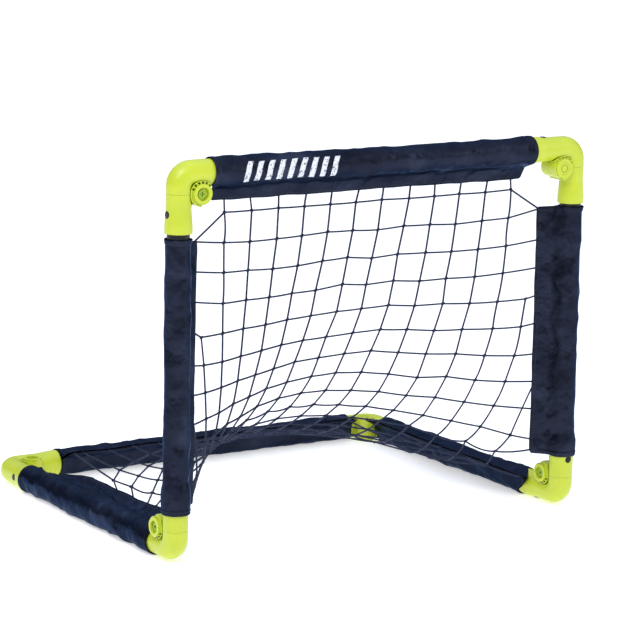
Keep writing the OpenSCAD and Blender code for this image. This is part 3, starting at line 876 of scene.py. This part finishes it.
def hang(points, held, cords):
    """Lets the net settle: cords pull when longer than their natural length, and knots have weight."""
    a, b = np.array(cords).T
    start = np.linalg.norm(points[b] - points[a], axis=1)
    slack = 1 + 0.05 * rng.standard_normal(len(cords)).clip(-1.5, 1.5)
    free = np.maximum(ACROSS * slack, 0.97 * start)
    natural = TIGHTNESS * np.where(held[a] | held[b], start, free)
    weight = np.array([0, 0, -WEIGHT])
    speed = np.zeros_like(points)
    for _ in range(HANG_STEPS):
        d = points[b] - points[a]
        length = np.linalg.norm(d, axis=1)
        pull = (PULL * np.maximum(0, length - natural) / np.maximum(length, 1e-9))[:, None] * d
        push = np.zeros_like(points)
        np.add.at(push, a, pull)
        np.add.at(push, b, -pull)
        speed = np.where(held[:, None], 0, KEPT_SPEED * speed + push + weight)
        points = points + speed
    return points, natural


def add_tube_faces(base, rings, sides, faces):
    """Faces of a closed tube through rings of points that start at number base."""
    for i in range(rings - 1):
        a, b = base + i * sides, base + (i + 1) * sides
        for j in range(sides):
            k = (j + 1) % sides
            faces.append((a + j, a + k, b + k, b + j))
    faces.append(tuple(base + j for j in reversed(range(sides))))
    faces.append(tuple(base + (rings - 1) * sides + j for j in range(sides)))


def add_cord(path, points, faces):
    """Adds a closed round cord along a path to the mesh lists."""
    heading = np.gradient(path, axis=0)
    heading /= np.linalg.norm(heading, axis=1, keepdims=True)
    across = np.cross(heading, [0.3, 0.2, 0.93])    # a direction that no cord runs in
    across /= np.linalg.norm(across, axis=1, keepdims=True)
    over = np.cross(heading, across)
    add_tube_faces(len(points), len(path), CORD_SIDES, faces)
    for p, a, o in zip(path, across, over):
        for t in np.arange(CORD_SIDES) * 2 * math.pi / CORD_SIDES:
            points.append(p + CORD_R * (math.cos(t) * a + math.sin(t) * o))


def add_knot(centre, tangent, across, points, faces):
    """Adds a pulled-tight knot to the mesh lists: a lumpy ball, longer along the cords' diagonal."""
    normal = np.cross(tangent, across)
    normal /= np.linalg.norm(normal)
    first = tangent + across
    first /= np.linalg.norm(first)
    second = np.cross(normal, first)
    jitter = rng.uniform(0.88, 1.12, (KNOT_RINGS, KNOT_SIDES))
    add_tube_faces(len(points), KNOT_RINGS, KNOT_SIDES, faces)
    for i in range(KNOT_RINGS):
        lat = math.pi * (i + 0.5) / KNOT_RINGS - math.pi / 2
        for j in range(KNOT_SIDES):
            lon = 2 * math.pi * j / KNOT_SIDES
            bulge = 1 + 0.16 * math.cos(4 * lon)
            x, y, z = jitter[i, j] * bulge * np.array([
                KNOT[0] * math.cos(lat) * math.cos(lon),
                KNOT[1] * math.cos(lat) * math.sin(lon),
                KNOT[2] * math.sin(lat)])
            points.append(centre + MM * (x * first + y * second + z * normal))


def cord_path(a, b, rest):
    """Cord between two knots. Spare length hangs as a shallow curve."""
    length = np.linalg.norm(b - a)
    spare = max(0.0, rest * 1.01 - length)
    sag = min(math.sqrt(0.375 * length * spare), 2.2 * MM) + 0.2 * MM
    t = np.linspace(0, 1, 7)[:, None]
    side = rng.normal(0, 0.35, 3)
    return a * (1 - t) + b * t + 4 * t * (1 - t) * sag * (np.array([0, 0, -1.0]) + side)


def build_net():
    plan = NetPlan()
    held = np.array(plan.held)
    places, natural = hang(np.array(plan.points), held, plan.cords)
    points, faces = [], []
    ways = {}
    for (a, b), rest in zip(plan.cords, natural):
        add_cord(cord_path(places[a], places[b], rest), points, faces)
        ways.setdefault(a, []).append(unit(places[b] - places[a]))
        ways.setdefault(b, []).append(unit(places[a] - places[b]))
    for n in np.nonzero(~held)[0]:
        add_knot(places[n], ways[n][0], ways[n][-1], points, faces)
    net = make_object("knotted_net", points, faces, [CORD])
    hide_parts("net")
    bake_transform(net)


build_net()


# ---- Floor, light and camera ---------------------------------------------------

LIGHTS = [  # name, place, size, power
    ("key", (-1.4, -1.2, 2.2), 1.4, 27),
    ("fill", (1.8, -1.6, 1.2), 1.6, 10),
    ("rim", (0.4, 2.2, 1.8), 1.6, 1.5),
]
FLOOR_Z, FLOOR_SIZE = -0.6 * MM, 60    # just below the lowest fabric
SENSOR = 36                            # mm


def area_light(name, place, size, power, aim):
    lamp = bpy.data.lights.new(name, "AREA")
    lamp.shape, lamp.size, lamp.energy = "DISK", size, power
    obj = bpy.data.objects.new(name, lamp)
    obj.location = place
    obj.rotation_euler = (aim - Vector(place)).to_track_quat("-Z", "Y").to_euler()
    bpy.context.scene.collection.objects.link(obj)


scene = bpy.context.scene
scene.view_settings.view_transform = "Standard"
scene.view_settings.look = "None"
world = bpy.data.worlds.new("studio")
scene.world = world
world.use_nodes = True
tree = world.node_tree
# soft sky: bright overhead and dim at the horizon, but plain white to the camera
direction = add(tree, "ShaderNodeTexCoord")
split = add(tree, "ShaderNodeSeparateXYZ")
tree.links.new(direction.outputs["Generated"], split.inputs["Vector"])
sky = ramp(tree, split.outputs["Z"],
           [(0.0, (0.13, 0.135, 0.15)), (0.35, (0.26, 0.28, 0.33)), (0.95, (1.1, 1.2, 1.4))])
white = add(tree, "ShaderNodeRGB")
white.outputs[0].default_value = (1, 1, 1, 1)
path = add(tree, "ShaderNodeLightPath")
mix = add(tree, "ShaderNodeMix", data_type="RGBA")
tree.links.new(path.outputs["Is Camera Ray"], mix.inputs[0])
tree.links.new(sky, mix.inputs[6])
tree.links.new(white.outputs[0], mix.inputs[7])
tree.links.new(mix.outputs[2], tree.nodes["Background"].inputs["Color"])
tree.nodes["Background"].inputs["Strength"].default_value = 1.0

centre = (cad_low + cad_high) / 2
for light in LIGHTS:
    area_light(*light, centre)

bpy.ops.mesh.primitive_plane_add(size=FLOOR_SIZE, location=(0, 0, FLOOR_Z))
floor = bpy.context.object
floor.name = "floor"
floor.data.materials.append(FLOOR)

aim = centre + Vector((0.0350, -0.0243, -0.0093))    # puts the goal in its place in the picture
back = Vector((math.sin(AZIMUTH) * math.cos(ELEVATION), -math.cos(AZIMUTH) * math.cos(ELEVATION),
               math.sin(ELEVATION)))
level = Vector((math.cos(AZIMUTH), math.sin(AZIMUTH), 0))
upright = back.cross(level)
right = level * math.cos(ROLL) + upright * math.sin(ROLL)
up = upright * math.cos(ROLL) - level * math.sin(ROLL)

camera = bpy.data.objects.new("camera", bpy.data.cameras.new("camera"))
camera.data.lens, camera.data.sensor_width = LENS, SENSOR
camera.data.clip_start, camera.data.clip_end = 0.05, 50
turned = Matrix((right, up, back)).transposed().to_4x4()
camera.matrix_world = Matrix.Translation(aim + back * DISTANCE) @ turned
scene.collection.objects.link(camera)
scene.camera = camera
